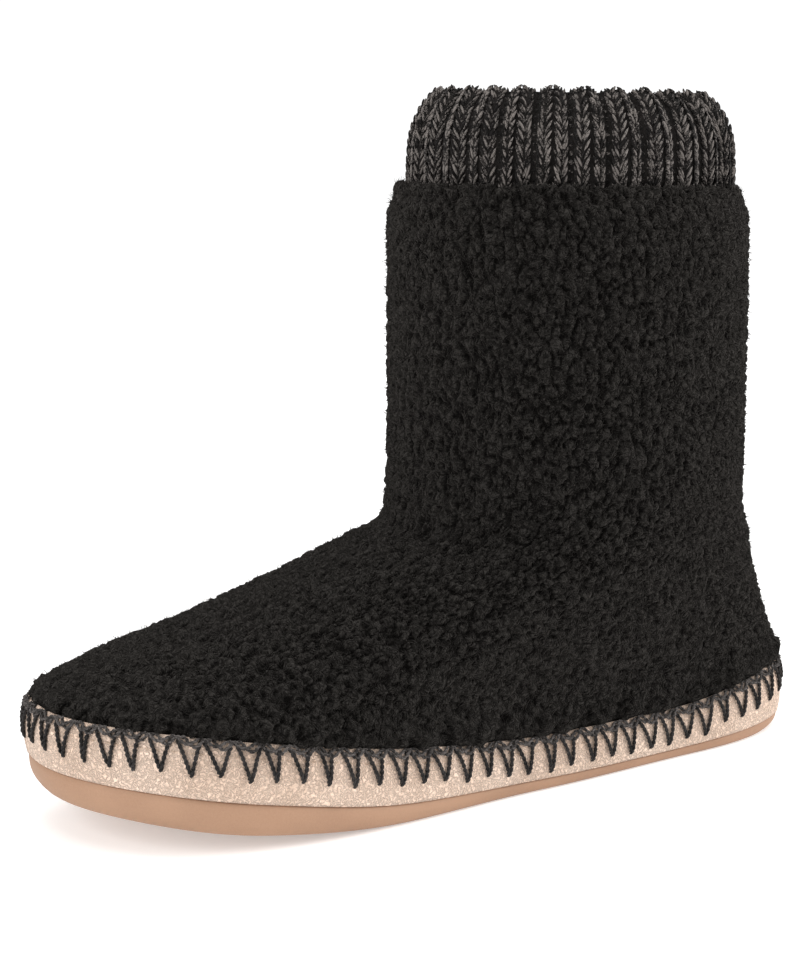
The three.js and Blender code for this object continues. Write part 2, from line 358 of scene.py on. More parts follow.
def curve_through(places, values, at):
    """Smooth curve through a table's rows that never overshoots, for any array of places."""
    x, y = np.asarray(places, float), np.asarray(values, float)
    at = np.clip(np.asarray(at, float), x[0], x[-1])
    slope = np.diff(y) / np.diff(x)
    before, after = slope[:-1], slope[1:]
    total = np.where(before * after > 0, before + after, 1)
    middle = np.where(before * after > 0, 2 * before * after / total, 0)
    tangent = np.concatenate([slope[:1], middle, slope[-1:]])
    i = np.clip(np.searchsorted(x, at, side="right") - 1, 0, len(x) - 2)
    width = x[i + 1] - x[i]
    s = (at - x[i]) / width
    start = (1 + 2 * s) * (1 - s) ** 2 * y[i] + s * (1 - s) ** 2 * width * tangent[i]
    return start + s * s * (3 - 2 * s) * y[i + 1] - s * s * (1 - s) * width * tangent[i + 1]


def last(column, share):
    """A column of the last at a share of its length: 0 at the heel, 1 at the toe."""
    return curve_through(LAST["share"], LAST[column], share)


def share_of(turn):
    return (1 - np.cos(turn)) / 2


def share_at(y):
    return np.clip(0.5 - y / LENGTH, 0, 1)


def half_width(turn):
    return np.where(np.sin(turn) >= 0, last("lateral", share_of(turn)), last("medial", share_of(turn)))


def fullness(turn, exponent):
    """How far out to the side a turn lies, from -1 to 1; a smaller exponent gives blunter ends."""
    return np.abs(np.sin(turn)) ** exponent * np.where(np.sin(turn) >= 0, 1, -1)


# %% Lines round the foot
TURN_STEP = 0.02
FINE_TURNS = np.linspace(0, 2 * np.pi, 4001)


def outline(turn):
    """The plan outline; the turn goes from the heel by the outer side to the toe and back."""
    share = share_of(turn)
    x = last("spine", share) + half_width(turn) * fullness(turn, END_ROUNDNESS)
    return np.stack([x, LENGTH / 2 - share * LENGTH], -1)


def footprint(turn, inset):
    """The outline moved in by an inset, square to itself."""
    along = outline(turn + TURN_STEP) - outline(turn - TURN_STEP)
    along /= np.linalg.norm(along, axis=-1, keepdims=True)
    outward = np.stack([-along[..., 1], along[..., 0]], -1)
    return outline(turn) - outward * np.asarray(inset)[..., None]


def travelled(points):
    """How far along a line each of its points lies."""
    return np.concatenate([[0], np.cumsum(np.linalg.norm(np.diff(points, axis=0), axis=1))])


def even_turns(count, point_at=outline):
    """Turns that are evenly spaced along a closed line."""
    length = travelled(point_at(FINE_TURNS))
    return np.interp(np.arange(count) * length[-1] / count, length, FINE_TURNS)


OUTLINE_MM = travelled(outline(FINE_TURNS))
AROUND_MM = OUTLINE_MM[-1]


def turn_at(mm):
    """The turn at a distance along the outline."""
    return np.interp(np.mod(mm, AROUND_MM), OUTLINE_MM, FINE_TURNS)


print("round the outline:", round(AROUND_MM), "mm")

# %% [markdown]
# ## From rings to a skin
# Sole, band, boot, cuff and footbed are all tubes or slabs whose shape changes from ring to ring. Boxes
# could be bent into them, but rings of points joined by a skin follow the tables exactly.

# %% Turning rings of points into a mesh
def cap_faces(ring, facing_down):
    """Strips of faces across a ring, from its start to its far end."""
    around, faces = len(ring), []
    for i in range(around // 2):
        corners = [ring[i], ring[-i % around], ring[(-i - 1) % around], ring[i + 1]]
        corners = list(dict.fromkeys(int(c) for c in corners))
        faces.append(tuple(reversed(corners)) if facing_down else tuple(corners))
    return faces


def loft(name, rings, material, closed=False, capped=False, attributes=None):
    """A skin over rings of points (ring, turn, xyz, in mm) that go up the outer face."""
    count, around = rings.shape[:2]
    index = np.arange(count * around).reshape(count, around)
    upper = np.roll(index, -1, axis=0) if closed else index[1:]
    lower = index if closed else index[:-1]
    faces = np.stack([lower, upper, np.roll(upper, -1, 1), np.roll(lower, -1, 1)], -1).reshape(-1, 4)
    faces = [tuple(f) for f in faces.tolist()]
    if capped:
        faces += cap_faces(index[0], True) + cap_faces(index[-1], False)
    mesh = bpy.data.meshes.new(name)
    mesh.from_pydata((rings.reshape(-1, 3) * MM).tolist(), [], faces)
    mesh.polygons.foreach_set("use_smooth", [True] * len(faces))
    mesh.materials.append(material)
    for title, values in (attributes or {}).items():
        layer = mesh.attributes.new(title, "FLOAT", "POINT")
        layer.data.foreach_set("value", np.asarray(values, np.float32).ravel())
    mesh.update()
    print(name, "has", sum(len(f) - 2 for f in faces), "triangles")
    return link(bpy.data.objects.new(name, mesh))


def keep(piece, slot, *nodes, padded=None):
    """Seats a finished piece on the one body and hides the solids it stands for; the slot for its finish is
    not used.
    """
    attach(piece, "root")
    if nodes:
        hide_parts(*nodes)


# %% [markdown]
# ## The outsole
# The sole is one moulded slab of tan rubber, flat under the heel and the ball and lifted at the toe.
# It could be the CAD solid with a new material, but its side is cut from straight facets, so the same
# rings are drawn again, closer together, with a properly round lower edge.

# %% Outsole
SOLE_AROUND = 600
SOLE_INSET = 1.2
EDGE_DEPTH = 0.8
EDGE_WIDTH = 0.5
EDGE_WIDTH_MIN = 0.8
EDGE_STEPS = 10
RIM_ROUND = 0.35

rubber = finish("tan_moulded_rubber", (0.30, 0.174, 0.107), (0.36, 0.214, 0.134), patch=0.03,
                speck=0.0006, speck_share=0.35, size=0.0005, depth=0.00008, roughness=0.62, specular=0.35)


def outsole_rings():
    """The round lower edge from the flat underside out to the side, then the rim, softly broken."""
    turns = even_turns(SOLE_AROUND)
    share = share_of(turns)
    thickness = last("rim", share) - last("floor", share)
    width = EDGE_WIDTH_MIN + EDGE_WIDTH * thickness
    rings = []
    for angle in np.linspace(0, np.pi / 2, EDGE_STEPS):
        point = footprint(turns, SOLE_INSET + width * (1 - math.sin(angle)))
        z = last("floor", share_at(point[:, 1])) + EDGE_DEPTH * thickness * (1 - math.cos(angle))
        rings.append(np.column_stack([point, z]))
    for inset, drop in ((0, RIM_ROUND), (RIM_ROUND, 0)):
        point = footprint(turns, np.full(SOLE_AROUND, SOLE_INSET + inset))
        rings.append(np.column_stack([point, last("rim", share_at(point[:, 1])) - drop]))
    return np.array(rings)


outsole = loft("tan_outsole", outsole_rings(), rubber, capped=True)
keep(outsole, "outsole", "outsole")

# %% [markdown]
# ## The suede band
# A strip of beige microsuede is wrapped round the foot above the sole. It swells a little low down,
# where it is turned under, and leans in at its upper edge. A flat strip with a Solidify modifier would
# have square edges, so it is drawn from its own section: how far in, and how high between the seam and
# the edge.

# %% Suede
NAP_SIZE = 0.0012
NAP_GROOVE_SHADE = 0.62
NAP_LINE = 0.35
NAP_DEPTH, NAP_STRENGTH = 0.0008, 0.8


def suede_finish():
    """Microsuede: a short nap brushed into winding ridges about a millimetre wide, with painted shade in the
    lines between.
    """
    material, tree, inputs = bare_finish("beige_microsuede", roughness=0.95, specular=0.1, sheen=0.12,
                                         sheen_roughness=0.6)
    color = mottled(tree, (0.68, 0.50, 0.385), (0.80, 0.62, 0.50), speck=0.0009, speck_share=0.45)
    place = add(tree, "ShaderNodeTexCoord").outputs["Object"]
    nap = worms(tree, place, NAP_SIZE, detail=2.0, distortion=0.6)
    # The colour is darkened along the nap's lines: painted shade in its grooves.
    shade = ramp_step(tree, nap, 0.0, NAP_LINE, NAP_GROOVE_SHADE, 1.0)
    feed(tree, inputs["Base Color"], vector_step(tree, "SCALE", color, scale=shade))
    feed(tree, inputs["Normal"], bump_step(tree, nap, NAP_DEPTH, NAP_STRENGTH))
    return material


suede = suede_finish()

# %% Suede band
BAND_AROUND = 640
BAND_UP = 31
BAND = {
    "path": [0, 1, 2, 3, 4, 5, 6, 7],
    "inset": [0.6, 0.0, 0.1, 0.9, 1.8, 2.6, 3.2, 3.2],
    "level": [0, 0.25, 0.55, 0.82, 0.97, 1.0, 0.94, 0.0],
}
BAND_EDGE_PATH = 5


def band_height(point, level):
    """The height at a level of the band over a point: 0 at the seam with the sole, 1 at its edge."""
    share = share_at(point[..., 1])
    low = last("rim", share) + GAP
    return low + (last("band_top", share) - low) * level


def band_point(turn, path, lift=0.0):
    """A point on the band's section round the foot; lift stands it off the face."""
    point = footprint(turn, curve_through(BAND["path"], BAND["inset"], path) - lift)
    level = curve_through(BAND["path"], BAND["level"], path)
    return np.concatenate([point, band_height(point, level)[..., None]], -1)


def band_rings():
    turns = even_turns(BAND_AROUND)
    *face, back = BAND["path"]
    paths = [*np.linspace(face[0], face[-1], BAND_UP), back]
    return np.array([band_point(turns, np.full(BAND_AROUND, path)) for path in paths])


band = loft("suede_band", band_rings(), suede, closed=True)
keep(band, "band_suede", "sidewall_band")

# %% [markdown]
# ## The fleece boot
# Sherpa fleece is a knitted cloth whose pile is brushed and tumbled until it curls into small clumps.
# The boot could be sculpted, but then it would drift from the CAD. Its shell is lofted from one table,
# a row for each ring from the band to the hem, and then over the hem and down inside. Each point also
# says how much pile it carries: none behind the band, little inside.

# %% The boot's rings
UPPER = {
    "front_y": [-130.8, -127.6, -119.8, -107.8, -92.8, -77.6, -62, -46.4, -31.4, -20.2, -15.2, -13.6, -13,
                -12.7, -12.5, -11.9],
    "front_z": [42.2, 44.6, 48.6, 53, 57.6, 62.8, 68, 73.2, 78.6, 84.6, 93, 104, 124, 152, 179, 190],
    "back_y": [131.8, 130.4, 127.4, 124, 120.4, 117, 114, 111.8, 110.4, 109.6, 109.2, 109, 108.9, 108.9,
               108.6, 107.8],
    "back_z": [28.2, 33.2, 41, 49.5, 58.5, 67.5, 76, 84, 92, 100, 107, 115, 130, 154, 177, 187.6],
    "free": [0.02, 0.1, 0.28, 0.5, 0.7, 0.82, 0.9, 0.95, 1, 1, 1, 1, 1, 1, 1, 1],
    "heel": [40, 42, 43, 44, 45, 46, 47, 48, 48.6, 49.4, 50, 50.3, 50.4, 50.4, 50.4, 49.8],
    "ankle": [40, 41, 42.5, 44, 45.5, 47, 48, 48.6, 49.2, 49.8, 50.1, 50.3, 50.4, 50.4, 50.4, 49.8],
    "instep": [56, 54, 50, 46, 43.5, 42, 41.2, 41.2, 42, 44, 46.6, 49.2, 50.4, 50.4, 50.4, 49.8],
    "wall": [4.4, 5, 5.4, 5.8, 6, 6, 6, 6, 6, 6, 6, 6, 6, 6, 6, 5.6],
}
UPPER_ROWS = np.arange(len(UPPER["wall"]))
TOP_ROW, SHAFT_ROW = 15, 13
RING_SHARES = [0.08, 0.42, 0.8]
BAND_COVER = 2.8
FLEECE_AROUND, FLEECE_UP = 500, 160
FLEECE_TURNS = even_turns(FLEECE_AROUND)
GAUGE_EVERY = 10


def upper_column(column, row):
    return curve_through(UPPER_ROWS, UPPER[column], row)


def upper_point(turn, row):
    """A point on the boot's outer face: turn round it, row of the table up it."""
    share = share_of(turn)
    free = upper_column("free", row)
    exponent = END_ROUNDNESS + (1 - END_ROUNDNESS) * free
    stops = [upper_column(column, row) for column in ("heel", "ankle", "instep")]
    own = curve_through(RING_SHARES, stops, share)
    half = (half_width(turn) - BAND_COVER) * (1 - free) + own * free
    x = last("spine", share) * (1 - free) + half * fullness(turn, exponent)
    y = upper_column("back_y", row) * (1 - share) + upper_column("front_y", row) * share
    straight = LAST["band_top"][0] * (1 - share) + LAST["band_top"][-1] * share
    dip = (last("band_top", share) - straight) * (1 - free)
    z = upper_column("back_z", row) * (1 - share) + upper_column("front_z", row) * share + dip
    return np.stack([x, y, z], -1)


def even_rows():
    """Rows of the table at even steps up the boot, halfway between its mean and its longest climb."""
    fine = np.linspace(0, TOP_ROW, 12 * TOP_ROW + 1)
    rings = np.array([upper_point(FLEECE_TURNS[::GAUGE_EVERY], row) for row in fine])
    steps = np.linalg.norm(np.diff(rings, axis=0), axis=-1)
    climb = np.concatenate([[0], np.cumsum((steps.mean(1) + steps.max(1)) / 2)])
    return np.interp(np.linspace(0, climb[-1], FLEECE_UP), climb, fine)


FLEECE_ROWS = even_rows()


def outer_rings():
    """The outer face; its turns are even round the foot below and even round the shaft above."""
    shaft_turns = even_turns(FLEECE_AROUND, lambda turn: upper_point(turn, SHAFT_ROW)[:, :2])
    free = upper_column("free", FLEECE_ROWS)
    return np.array([upper_point(FLEECE_TURNS * (1 - f) + shaft_turns * f, row)
                     for f, row in zip(free, FLEECE_ROWS)])


def outward_of(rings):
    outward = np.cross(np.gradient(rings, axis=0), np.roll(rings, -1, 1) - np.roll(rings, 1, 1))
    return outward / np.linalg.norm(outward, axis=-1, keepdims=True)


print("boot:", FLEECE_UP, "rings of", FLEECE_AROUND, "points")

# %% [markdown]
# ## Folds
# An empty boot of soft fleece creases where the foot bends. Cloth simulation could find folds of its own,
# but not these ones, so each is listed: a line on the boot, in its own millimetres, with a soft
# trough or ridge along it.

# %% Soft folds
# Each fold has a line on the boot, how far it rises (a trough sinks) and its half breadth.
FOLDS = [
    {"line": [(-26, -30, 74), (0, -36, 79), (22, -26, 77), (40, -4, 72)], "rise": 1.0, "breadth": 7},
    {"line": [(-42, 10, 78), (-26, -11, 85), (0, -19, 87), (22, -13, 86), (42, 12, 82)],
     "rise": -2.2, "breadth": 6},
    {"line": [(46, 18, 73), (45, 44, 67), (40, 74, 66)], "rise": -0.9, "breadth": 7},
    {"line": [(-45, 22, 72), (-44, 50, 67), (-38, 80, 66)], "rise": -0.9, "breadth": 7},
    {"line": [(34, 88, 68), (22, 104, 73), (0, 112, 75), (-22, 104, 73), (-34, 88, 68)],
     "rise": 1.2, "breadth": 6},
    {"line": [(40, 20, 112), (48, 42, 106), (42, 78, 110)], "rise": -0.6, "breadth": 8},
]
FOLD_STEPS = 40


def smooth_line(marks):
    """A smooth line through a few marks in space."""
    steps = np.linspace(0, len(marks) - 1, FOLD_STEPS)
    return np.stack([curve_through(np.arange(len(marks)), axis, steps) for axis in zip(*marks)], -1)


def fold_lift(points):
    """How far the soft folds push each point out, in millimetres; each fold fades towards its ends."""
    lift = np.zeros(points.shape[:-1])
    for fold in FOLDS:
        away = np.linalg.norm(points[..., None, :] - smooth_line(fold["line"]), axis=-1)
        fade = np.sqrt(np.sin(np.pi * away.argmin(-1) / (FOLD_STEPS - 1)).clip(0))
        lift += fold["rise"] * fade * np.exp(-(away.min(-1) / fold["breadth"]) ** 2)
    return lift


print(len(FOLDS), "folds")

# %% The whole shell, outside and inside
LINING_UP = 20
BAND_WALL = 3.2
SKIRT_WALL = 3.6
SKIRT_LEVELS, SKIRT_LINING_LEVELS = (0.0, 0.5, 0.8, 0.95), (0.5, 0.0)
HEM_RISE = 3.6
HEM_STEPS = 12
HEM_LEAN, HEM_LEAN_ROW = 1.8, 14.2
LOW_BULGE = 2.0
LOW_BULGE_ROW, LOW_BULGE_SPREAD = 0.6, 0.7
LOW_HANG = 0.9
LOW_RAGGED, RAGGED_LIMIT = 0.7, 1.2
LINING_PILE = 0.3


def skirt_ring(inset, level):
    """A ring behind the band, where the fleece is pressed thin."""
    point = footprint(FLEECE_TURNS, np.full(FLEECE_AROUND, inset))
    return np.column_stack([point, band_height(point, level)])


def hang_over_band(outer, outward):
    """The lowest pile bulges and hangs over the band's edge, a little raggedly."""
    bulge = LOW_BULGE * np.exp(-((FLEECE_ROWS - LOW_BULGE_ROW) / LOW_BULGE_SPREAD) ** 2)
    hang = LOW_HANG * np.exp(-(FLEECE_ROWS / LOW_BULGE_SPREAD) ** 2)
    chance = np.random.default_rng(4).normal(0, 1, FLEECE_AROUND)
    chance = (chance + np.roll(chance, 1) + np.roll(chance, 2)) / math.sqrt(3)
    wobble = 1 + LOW_RAGGED * np.clip(chance, -RAGGED_LIMIT, RAGGED_LIMIT)
    sideways = outward * [1, 1, 0] / np.linalg.norm(outward[..., :2], axis=-1, keepdims=True)
    hung = outer + sideways * (bulge[:, None] * wobble)[..., None]
    hung[..., 2] -= hang[:, None] * wobble
    return hung


def shell_rings():
    """Rings from behind the band up the outer face, over the hem and down inside, with their pile."""
    outer = outer_rings()
    outward = outward_of(outer)
    lean = HEM_LEAN * np.clip((FLEECE_ROWS - HEM_LEAN_ROW) / (TOP_ROW - HEM_LEAN_ROW), 0, 1) ** 2
    bare = outer + outward * (fold_lift(outer) - lean[:, None])[..., None]
    walls = upper_column("wall", FLEECE_ROWS) - lean
    tucked = BAND_WALL + GAP
    below = [skirt_ring(tucked, level) for level in SKIRT_LEVELS]
    face = list(hang_over_band(bare, outward))
    hem = [face[-1] - outward[-1] * (walls[-1] / 2) * (1 - math.cos(angle))
           + np.array([0, 0, HEM_RISE * math.sin(angle)])
           for angle in np.linspace(0, np.pi, HEM_STEPS)[1:-1]]
    picks = np.linspace(FLEECE_UP - 1, 0, LINING_UP).astype(int)
    lining = [bare[i] - outward[i] * walls[i] for i in picks]
    inside = [skirt_ring(tucked + SKIRT_WALL, level) for level in SKIRT_LINING_LEVELS]
    pile = np.repeat([0, 1, 1, LINING_PILE, 0], [len(part) for part in (below, face, hem, lining, inside)])
    return np.array(below + face + hem + lining + inside), np.repeat(pile[:, None], FLEECE_AROUND, 1)


shell_points, shell_pile = shell_rings()
print("shell:", shell_points.shape[0], "rings with lining and hem")

# %% [markdown]
# ## Curls
# The curls could be sculpted or scattered as thousands of balls. They are one pattern used twice instead:
# rounded cells just under four millimetres wide, bent by noise so that no two look alike, are the clumps;
# winding ridges half as wide ride on them, and gaps run between. Geometry Nodes push the dense shell
# out by the pattern as real relief, and the material reads it from the place each point had before and
# paints shade into the gaps and along the lines between the ridges, so that gaps finer than the mesh still
# look sharp and dark.

# %% Curl pattern in the mesh
CLUMP_SIZE, CLUMP_HEIGHT, CLUMP_EDGE = 0.0038, 0.0012, 0.2
CURL_SIZE, CURL_HEIGHT = 0.0018, 0.0009
PILE_BASE = -0.0011
SWAY_SCALE, SWAY_REACH = 330.0, 0.0040
RAG_SCALE, RAG_REACH = 600.0, 0.6


def clump_pattern(tree, place):
    """Clumps from 0 in their gaps to 1 on their crowns, at a place in metres."""
    sway = noise_step(tree, place, SWAY_SCALE, detail=3.0, output="Color")
    sway = vector_step(tree, "SUBTRACT", sway, (0.5, 0.5, 0.5))
    bent = vector_step(tree, "ADD", place, vector_step(tree, "SCALE", sway, scale=SWAY_REACH))
    ragged = math_step(tree, "SUBTRACT", noise_step(tree, place, RAG_SCALE, detail=3.0), 0.5)
    edge = add(tree, "ShaderNodeTexVoronoi", {"Vector": bent, "Scale": 1 / CLUMP_SIZE},
               feature="DISTANCE_TO_EDGE").outputs["Distance"]
    edge = math_step(tree, "ADD", edge, math_step(tree, "MULTIPLY", ragged, RAG_REACH))
    return ramp_step(tree, edge, 0.0, CLUMP_EDGE)


def curl_pattern(tree, place):
    return worms(tree, place, CURL_SIZE, detail=1.0, distortion=0.8)


def store_step(tree, geometry, name, value, data_type):
    return add(tree, "GeometryNodeStoreNamedAttribute", {"Geometry": geometry, "Name": name, "Value": value},
               data_type=data_type, domain="POINT").outputs[0]


def read_step(tree, name, data_type):
    return add(tree, "GeometryNodeInputNamedAttribute", {"Name": name}, data_type=data_type).outputs[0]


def curl_recipe():
    tree, given, result = recipe(
        "fleece_curls", "GeometryNodeTree",
        [GEOMETRY, ("Clump Height", NUMBER, CLUMP_HEIGHT), ("Curl Height", NUMBER, CURL_HEIGHT),
         ("Base", NUMBER, PILE_BASE), FINISH],
        [GEOMETRY])
    place = add(tree, "GeometryNodeInputPosition").outputs[0]
    clump = clump_pattern(tree, place)
    marked = store_step(tree, given.outputs[0], "rest_place", place, "FLOAT_VECTOR")
    marked = store_step(tree, marked, "crown", clump, "FLOAT")
    high = math_step(tree, "MULTIPLY", clump, given.outputs["Clump Height"])
    low = math_step(tree, "MULTIPLY", curl_pattern(tree, place), given.outputs["Curl Height"])
    height = math_step(tree, "ADD", math_step(tree, "ADD", high, low), given.outputs["Base"])
    height = math_step(tree, "MULTIPLY", height, read_step(tree, "pile", "FLOAT"))
    normal = add(tree, "GeometryNodeInputNormal").outputs[0]
    moved = add(tree, "GeometryNodeSetPosition", {
        "Geometry": marked, "Offset": vector_step(tree, "SCALE", normal, scale=height)}).outputs[0]
    return end_recipe(tree, given, result, moved)


CURLS = curl_recipe()
print(CURLS.name, "has", len(CURLS.nodes), "nodes")

# %% Curl pattern in the finish
FIBRE_SIZE, FIBRE_RAG = 0.0005, 0.9
CLUMP_SHADE = (0.0, 0.8, 0.0, 1.0)
FIBRE_SHADE = (0.36, 0.66, 0.2, 1.0)
CURL_SHADE = (0.0, 1.0, 0.35, 1.0)
PILE_DEPTH, PILE_STRENGTH = 0.0006, 0.9


def pile_group():
    """Colour and normal of curled pile, with painted shade in its gaps and along its curls, read from the
    place each point had before it was pushed out.
    """
    tree, given, result = recipe(
        "curled_pile", "ShaderNodeTree",
        [("Gap Shade", COLOR, (0, 0, 0, 1)), ("Crown", COLOR, (1, 1, 1, 1)), ("Fibre Size", NUMBER, FIBRE_SIZE)],
        [("Color", COLOR, None), ("Normal", VECTOR, None)])
    place = add(tree, "ShaderNodeAttribute", attribute_name="rest_place").outputs["Vector"]
    crown = add(tree, "ShaderNodeAttribute", attribute_name="crown").outputs["Fac"]
    curl = curl_pattern(tree, place)
    fibre_scale = math_step(tree, "DIVIDE", 1.0, given.outputs["Fibre Size"])
    fibre = noise_step(tree, place, fibre_scale, detail=1.5, roughness=0.7, distortion=1.5)
    ragged = math_step(tree, "MULTIPLY", math_step(tree, "SUBTRACT", fibre, 0.5), FIBRE_RAG)
    # The gaps between clumps and the lines between curls are darkened towards the gap colour: painted shade.
    clump_light = ramp_step(tree, math_step(tree, "ADD", crown, ragged), *CLUMP_SHADE)
    fibre_light = ramp_step(tree, fibre, *FIBRE_SHADE)
    curl_light = ramp_step(tree, curl, *CURL_SHADE)
    light = math_step(tree, "MULTIPLY", fibre_light, curl_light)
    light = math_step(tree, "MULTIPLY", clump_light, light)
    feed(tree, result.inputs["Color"], mix_step(tree, light, given.outputs["Gap Shade"], given.outputs["Crown"]))
    height = math_step(tree, "ADD", fibre, curl)
    feed(tree, result.inputs["Normal"], bump_step(tree, height, PILE_DEPTH, PILE_STRENGTH))
    return tree


def pile_finish(name, gap_shade, crown):
    material, tree, inputs = bare_finish(name, roughness=1.0, specular=0.0, sheen=0.05,
                                         sheen_roughness=0.5, sheen_tint=(1.0, 0.92, 0.85, 1))
    pile = add(tree, "ShaderNodeGroup", {"Gap Shade": (*gap_shade, 1), "Crown": (*crown, 1)}, node_tree=pile_group())
    feed(tree, inputs["Base Color"], pile.outputs["Color"])
    feed(tree, inputs["Normal"], pile.outputs["Normal"])
    return material


# The first colour is painted shade in the gaps; the second is the fleece's own colour on the crowns.
fleece = pile_finish("black_sherpa_fleece", (0.0014, 0.0013, 0.0012), (0.035, 0.0325, 0.030))
shell = loft("fleece_carrier", shell_points, fleece, closed=True, attributes={"pile": shell_pile})
boot = grow(shell, CURLS, "fleece_boot", {"Finish": fleece})
keep(boot, "fleece", "upper")
bpy.data.objects.remove(shell)

# %% [markdown]
# ## Loose hairs
# A brushed pile also has single hairs that stand off the clumps and blur the outline. Blender's hair
# would be lost on export, so they are tiny three-sided spikes, scattered on the crowns of the outer face
# and leaning every way.

# %% Loose hairs
HAIR_DENSITY = 480000.0
HAIR_LENGTH, HAIR_THICKNESS = 0.0022, 0.00011
HAIR_LEAN = 1.6
HAIR_SHORTEST, HAIR_LONGEST = 0.5, 1.3
HAIR_SEED, HAIR_SIZE_SEED = 3, 11
ROOTED_FROM = 0.5

hair_finish = finish("fleece_hair", (0.008, 0.0073, 0.0068), (0.024, 0.0215, 0.0195), patch=0.01,
                     sheen=0.04, sheen_tint=(1.0, 0.92, 0.85, 1), specular=0.06)


def hair_recipe():
    tree, given, result = recipe(
        "loose_hairs", "GeometryNodeTree",
        [GEOMETRY, ("Density", NUMBER, HAIR_DENSITY), ("Length", NUMBER, HAIR_LENGTH),
         ("Thickness", NUMBER, HAIR_THICKNESS), ("Lean", NUMBER, HAIR_LEAN),
         ("Seed", "NodeSocketInt", HAIR_SEED), FINISH],
        [GEOMETRY])
    seed = given.outputs["Seed"]
    crowned = math_step(tree, "MULTIPLY", *(read_step(tree, name, "FLOAT") for name in ("pile", "crown")))
    outside = add(tree, "FunctionNodeCompare", {0: crowned, 1: ROOTED_FROM}, data_type="FLOAT",
                  operation="GREATER_THAN").outputs[0]
    roots = add(tree, "GeometryNodeDistributePointsOnFaces", {
        "Mesh": given.outputs[0], "Density": given.outputs["Density"], "Seed": seed, "Selection": outside})
    spike = add(tree, "GeometryNodeMeshCone", {
        "Vertices": 3, "Side Segments": 1, "Radius Top": 0.0, "Radius Bottom": given.outputs["Thickness"],
        "Depth": given.outputs["Length"]}, fill_type="NONE").outputs["Mesh"]
    lean = add(tree, "FunctionNodeRandomValue", {0: (-1.0, -1.0, -1.0), 1: (1.0, 1.0, 1.0), "Seed": seed},
               data_type="FLOAT_VECTOR").outputs[0]
    lean = vector_step(tree, "SCALE", lean, scale=given.outputs["Lean"])
    direction = vector_step(tree, "ADD", roots.outputs["Normal"], lean)
    turn = add(tree, "FunctionNodeAlignRotationToVector", {"Vector": direction}, axis="Z").outputs[0]
    size = add(tree, "FunctionNodeRandomValue", {
        2: HAIR_SHORTEST, 3: HAIR_LONGEST, "Seed": HAIR_SIZE_SEED}, data_type="FLOAT").outputs[1]
    hairs = add(tree, "GeometryNodeInstanceOnPoints", {
        "Points": roots.outputs["Points"], "Instance": spike, "Rotation": turn, "Scale": size}).outputs[0]
    return end_recipe(tree, given, result, hairs)


hairs = grow(boot, hair_recipe(), "fleece_hairs", {"Finish": hair_finish})
keep(hairs, "fleece")

# %% [markdown]
# ## The rib-knit cuff
# The cuff is a knitted tube, two plain stitches and two purl ones in turn, folded at the top and sewn
# into the shaft. The plain stitches stand out as pairs of little legs, the purl ones sink between the
# ribs. A bump map would show the stitches but leave the outline smooth. So a dark ribbed body gives the
# tube its thickness, and every visible stitch is laid on it as real yarn.

# %% Cuff body
CUFF = {
    "path": [0, 1, 2, 3, 4, 5, 6, 7, 8, 9],
    "inset": [6.7, 6.8, 6.4, 6.8, 9.2, 13.2, 16.2, 18.1, 15.9, 12.9],
    "shift": [0, 0, 0.9, 1, 1, 0.8, 0.6, 0.4, 0, 0],
    "level": [-24, -3, 4, 14, 22.6, 28.4, 30.6, 27.6, 12, -24],
    "ribs": [0.3, 0.6, 1, 1, 1, 1, 0.9, 0.6, 0.3, 0.2],
}
RIBS = 28
RIB_DEPTH = 2.0
RIB_FLAT, RIB_BREADTH = 1.6, 0.6
RIB_POINTS, CUFF_UP = 16, 43
SCALLOP, SCALLOP_FROM, SCALLOP_OVER = 1.2, 20, 10
HEM_FRONT, HEM_BACK = 191.5, 189.5
SHAFT_FRONT, SHAFT_BACK, SHAFT_HALF = -12.6, 108.7, 50.4


def cuff_point(turn, path):
    """A point on the folded cuff: turn round it, path along its section from the seam over the fold."""
    inset, shift, level, ribs = (curve_through(CUFF["path"], CUFF[column], path)
                                 for column in ("inset", "shift", "level", "ribs"))
    groove = 1 - np.minimum(RIB_FLAT * (0.5 - 0.5 * np.cos(turn * RIBS)), 1) ** RIB_BREADTH
    room = inset + RIB_DEPTH * ribs * groove
    level = level - SCALLOP * groove * np.clip((level - SCALLOP_FROM) / SCALLOP_OVER, 0, 1)
    middle, depth = (SHAFT_FRONT + SHAFT_BACK) / 2, (SHAFT_BACK - SHAFT_FRONT) / 2
    y = middle + shift + (depth - room) * np.cos(turn)
    x = (SHAFT_HALF - room) * np.sin(turn)
    share = share_of(turn)
    return np.stack([x, y, HEM_BACK * (1 - share) + HEM_FRONT * share + level], -1)


def cuff_rings():
    turns = np.arange(RIBS * RIB_POINTS) * 2 * np.pi / (RIBS * RIB_POINTS)
    seam, *seen, sewn_end = CUFF["path"]
    paths = [seam, *np.linspace(seen[0], seen[-1], CUFF_UP), sewn_end]
    return np.array([cuff_point(turns, path) for path in paths])


# The body's dark colour is painted shade: it shows in the valleys and between the stitches.
shaded_body_yarn = finish("cuff_shadow_yarn", (0.006, 0.0055, 0.005), (0.018, 0.016, 0.015), patch=0.006,
                   speck=0.0008, size=0.0009, depth=0.0005, roughness=0.95, sheen=0.02, specular=0.05)
cuff_body = loft("cuff_body", cuff_rings(), shaded_body_yarn, closed=True)
keep(cuff_body, "rib_knit", "cuff")

# %% [markdown]
# ## Marled yarn
# The cuff's yarn is twisted from dark and pale strands, so no stitch has one plain colour. An image of
# knitting would stretch over the fold. Each strand carries its own tone as a number, and the material
# adds fine specks and a slow drift along each row of stitches.

# %% Marled yarn
SPECK_SCALE, SPECK_SWING = 1900.0, 3.2
ROW_SCALE, ROW_SWING = (70.0, 70.0, 330.0), 2.4
TONE_DARK, TONE_LIGHT = -0.25, 0.9
MARL_DARK, MARL_LIGHT = (0.008, 0.0072, 0.0068, 1), (0.158, 0.141, 0.13, 1)


